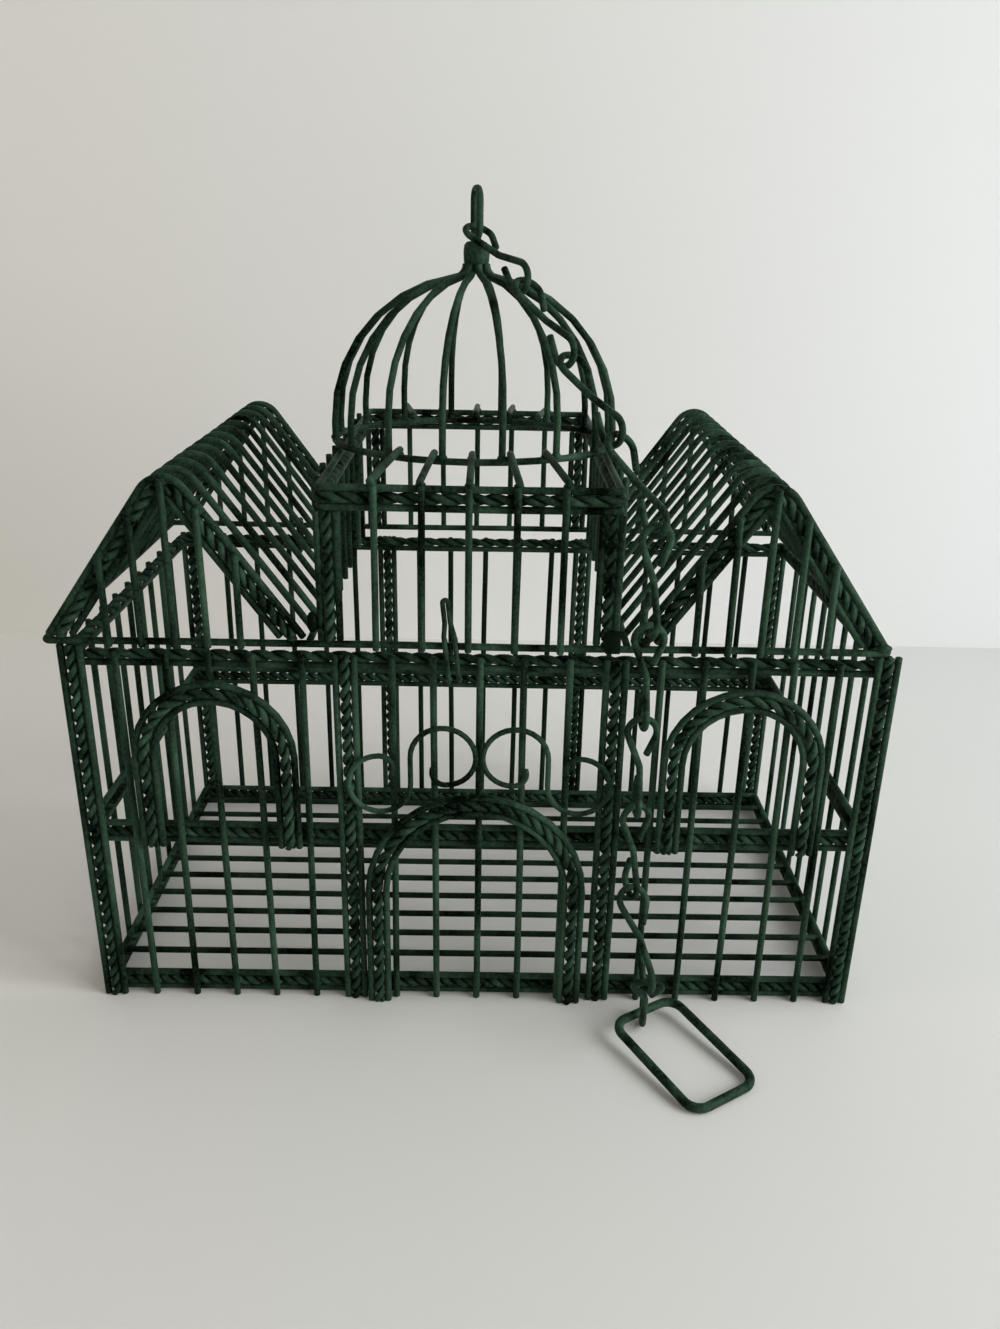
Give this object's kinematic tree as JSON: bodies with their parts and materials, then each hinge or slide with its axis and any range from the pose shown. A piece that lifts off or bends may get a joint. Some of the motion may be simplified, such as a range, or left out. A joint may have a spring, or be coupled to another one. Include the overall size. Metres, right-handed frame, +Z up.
{
  "type": "decorative bird cage",
  "caption": "Small decorative wire bird cage shaped like a house: barred box, hinged lid with two gabled roofs and a domed tower, wire latch, hanging chain and ring.",
  "frame": {"origin": "middle of the box's footprint, on the surface that the cage stands on", "axes": "+X to the right and +Y to the back as seen from the front with the arches, +Z up"},
  "size_m": [0.3039, 0.2258, 0.3021],
  "materials": {
    "cage_wire": "satin",
    "rope_wire": "satin",
    "chain_wire": "satin"
  },
  "bodies": {
    "box": {"back_bars": "cage_wire", "bottom_hoop_rope": "rope_wire", "bottom_hoop_wires": "cage_wire", "corner_post_ropes": "rope_wire", "corner_post_wires": "cage_wire", "door_arch_rope": "rope_wire", "door_arch_wires": "cage_wire", "floor_wires": "cage_wire", "front_bars": "cage_wire", "hinge_rings": "cage_wire", "left_bars": "cage_wire", "left_scroll": "cage_wire", "left_window_rope": "rope_wire", "left_window_wires": "cage_wire", "mid_post_ropes": "rope_wire", "mid_post_wires": "cage_wire", "middle_hoop_rope": "rope_wire", "middle_hoop_wires": "cage_wire", "right_bars": "cage_wire", "right_scroll": "cage_wire", "right_window_rope": "rope_wire", "right_window_wires": "cage_wire", "top_hoop_rope": "rope_wire", "top_hoop_wire": "cage_wire"},
    "lid": {"dome_neck": "cage_wire", "dome_ribs": "cage_wire", "dome_ring": "cage_wire", "fan_wires": "cage_wire", "finial_eye": "cage_wire", "left_gable_bars": "cage_wire", "left_gable_ropes": "rope_wire", "left_gable_wires": "cage_wire", "left_roof_wires": "cage_wire", "lid_base_wire": "cage_wire", "right_gable_bars": "cage_wire", "right_gable_ropes": "rope_wire", "right_gable_wires": "cage_wire", "right_roof_wires": "cage_wire", "tower_back_bars": "cage_wire", "tower_front_bars": "cage_wire", "tower_post_ropes": "rope_wire", "tower_post_wires": "cage_wire", "tower_side_bars": "cage_wire", "tower_top_rope": "rope_wire", "tower_top_wires": "cage_wire", "valley_wires": "cage_wire"},
    "latch": {"latch": "cage_wire"},
    "chain_link_01": {"chain_link_01": "chain_wire"},
    "chain_link_02": {"chain_link_02": "chain_wire"},
    "chain_link_03": {"chain_link_03": "chain_wire"},
    "chain_link_04": {"chain_link_04": "chain_wire"},
    "chain_link_05": {"chain_link_05": "chain_wire"},
    "chain_link_06": {"chain_link_06": "chain_wire"},
    "chain_link_07": {"chain_link_07": "chain_wire"},
    "chain_link_08": {"chain_link_08": "chain_wire"},
    "chain_link_09": {"chain_link_09": "chain_wire"},
    "chain_link_10": {"chain_link_10": "chain_wire"},
    "hanging_ring": {"hanging_ring": "chain_wire"}
  },
  "joints": [
    {"name": "lid_hinge", "type": "hinge", "parent": "box", "child": "lid", "pos_m": [0, 0.0805, 0.1515], "axis": [-1, 0, 0], "range_deg": [0, 100]},
    {"name": "latch_pivot", "type": "hinge", "parent": "lid", "child": "latch", "pos_m": [-0.0095, -0.0805, 0.1515], "axis": [-1, 0, 0], "range_deg": [-14, 60]},
    {"name": "chain_link_01_swing", "type": "hinge", "parent": "lid", "child": "chain_link_01", "pos_m": [-0.0059, -0.005, 0.2878], "axis": [-0.799, -0.6013, 0], "range_deg": [0, 60]},
    {"name": "chain_link_02_swing", "type": "hinge", "parent": "chain_link_01", "child": "chain_link_02", "pos_m": [0.0122, -0.02905, 0.27043], "axis": [-0.799, -0.6013, 0], "range_deg": [0, 25]},
    {"name": "chain_link_03_swing", "type": "hinge", "parent": "chain_link_02", "child": "chain_link_03", "pos_m": [0.02786, -0.04985, 0.24739], "axis": [-0.799, -0.6013, 0], "range_deg": [0, 25]},
    {"name": "chain_link_04_swing", "type": "hinge", "parent": "chain_link_03", "child": "chain_link_04", "pos_m": [0.04351, -0.07066, 0.22436], "axis": [-0.799, -0.6013, 0], "range_deg": [0, 25]},
    {"name": "chain_link_05_swing", "type": "hinge", "parent": "chain_link_04", "child": "chain_link_05", "pos_m": [0.0573, -0.08898, 0.19824], "axis": [-0.9563, -0.2924, 0], "range_deg": [0, 40]},
    {"name": "chain_link_06_swing", "type": "hinge", "parent": "chain_link_05", "child": "chain_link_06", "pos_m": [0.0573, -0.08898, 0.16348], "axis": [-0.9986, -0.0523, 0], "range_deg": [0, 20]},
    {"name": "chain_link_07_swing", "type": "hinge", "parent": "chain_link_06", "child": "chain_link_07", "pos_m": [0.0573, -0.08898, 0.12872], "axis": [-1, 0, 0], "range_deg": [0, 20]},
    {"name": "chain_link_08_swing", "type": "hinge", "parent": "chain_link_07", "child": "chain_link_08", "pos_m": [0.0573, -0.08898, 0.09396], "axis": [-0.9511, -0.309, 0], "range_deg": [0, 20]},
    {"name": "chain_link_09_swing", "type": "hinge", "parent": "chain_link_08", "child": "chain_link_09", "pos_m": [0.0573, -0.08898, 0.0592], "axis": [-0.9744, -0.225, 0], "range_deg": [0, 20]},
    {"name": "chain_link_10_swing", "type": "hinge", "parent": "chain_link_09", "child": "chain_link_10", "pos_m": [0.0627, -0.11237, 0.03405], "axis": [-0.9925, 0.1219, 0], "range_deg": [0, 20]},
    {"name": "hanging_ring_swing", "type": "hinge", "parent": "chain_link_10", "child": "hanging_ring", "pos_m": [0.06502, -0.09347, 0.0055], "axis": [-0.8526, -0.5225, 0], "range_deg": [0, 40]}
  ]
}
